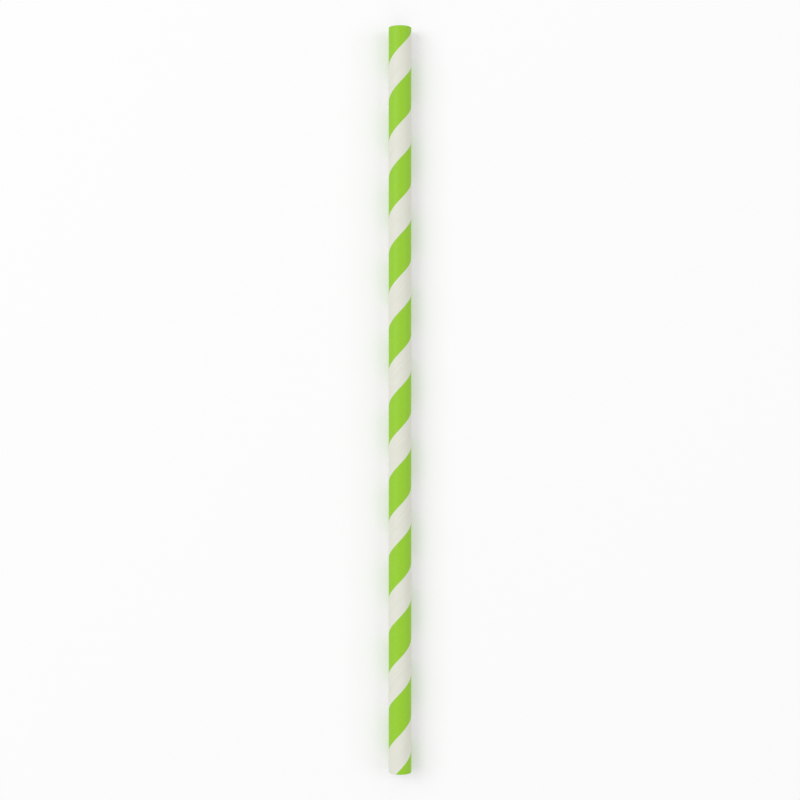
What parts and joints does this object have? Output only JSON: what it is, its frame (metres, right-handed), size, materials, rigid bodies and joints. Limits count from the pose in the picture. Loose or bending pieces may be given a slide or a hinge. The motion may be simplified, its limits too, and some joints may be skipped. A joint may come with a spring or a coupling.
{
  "type": "paper drinking straw",
  "caption": "Straight round paper drinking straw, spirally wound from printed paper with a helical green and white stripe and open square-cut ends.",
  "frame": {"origin": "on the resting surface, under the middle of the straw as it lies on its side", "axes": "+Y along the straw's axis towards the end that is uppermost in use, +Z up from the resting surface, +X to the right when looking down with +Y upwards"},
  "size_m": [0.006, 0.197, 0.006],
  "materials": {
    "printed_paper": "satin, white paper with a printed green stripe"
  },
  "bodies": {
    "root": {"straw_tube": "printed_paper"}
  },
  "joints": []
}
